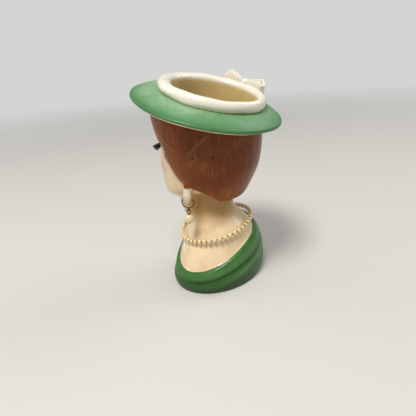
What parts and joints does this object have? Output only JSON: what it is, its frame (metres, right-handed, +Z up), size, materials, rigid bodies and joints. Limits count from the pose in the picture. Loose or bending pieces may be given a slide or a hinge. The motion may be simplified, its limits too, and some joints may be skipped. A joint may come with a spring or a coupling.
{
  "type": "head planter",
  "caption": "Hollow glazed ceramic bust of a woman in a wide tilted hat, open at the crown for a small plant, with pearl earrings and a strand of pearls.",
  "frame": {"origin": "middle of the flat base, on the surface it stands on", "axes": "+Z up, the face looks along -Y, her left side is +X"},
  "size_m": [0.102, 0.0982, 0.1474],
  "materials": {
    "glazed_body": "gloss",
    "hat_green": "satin",
    "white_glaze": "gloss",
    "lash_fibre": "matte",
    "ear_metal": "tarnished",
    "pearl": "gloss",
    "thread": "matte"
  },
  "bodies": {
    "root": {"vase_body": "glazed_body", "hat_brim": "hat_green", "hat_band": "white_glaze", "bow_knot": "white_glaze", "bow_loop_front": "white_glaze", "bow_loop_back": "white_glaze", "bow_tail_front": "white_glaze", "bow_tail_back": "white_glaze", "eyelash_left": "lash_fibre", "eyelash_right": "lash_fibre"},
    "wire_left": {"ear_wire_left": "ear_metal"},
    "wire_right": {"ear_wire_right": "ear_metal"},
    "drop_left": {"eye_pin_left": "ear_metal", "drop_pearl_left": "pearl"},
    "drop_right": {"eye_pin_right": "ear_metal", "drop_pearl_right": "pearl"},
    "necklace": {"necklace_beads": "pearl", "necklace_thread": "thread"}
  },
  "joints": [
    {"name": "left_wire_swing", "type": "hinge", "parent": "root", "child": "wire_left", "pos_m": [0.0302, -0.0024, 0.0683], "axis": [-0.2419, 0.9703, 0], "range_deg": [-75, 30]},
    {"name": "left_drop_swing", "type": "hinge", "parent": "wire_left", "child": "drop_left", "pos_m": [0.0302, -0.0024, 0.0604], "axis": [0.9703, 0.2419, 0], "range_deg": [-60, 60]},
    {"name": "right_wire_swing", "type": "hinge", "parent": "root", "child": "wire_right", "pos_m": [-0.0302, -0.0024, 0.0683], "axis": [0.2419, 0.9703, 0], "range_deg": [-30, 75]},
    {"name": "right_drop_swing", "type": "hinge", "parent": "wire_right", "child": "drop_right", "pos_m": [-0.0302, -0.0024, 0.0604], "axis": [0.9703, -0.2419, 0], "range_deg": [-60, 60]},
    {"name": "necklace_turn", "type": "hinge", "parent": "root", "child": "necklace", "pos_m": [0, 0, 0.04], "axis": [0.1713, -0.1626, 0.9717], "continuous": true}
  ]
}
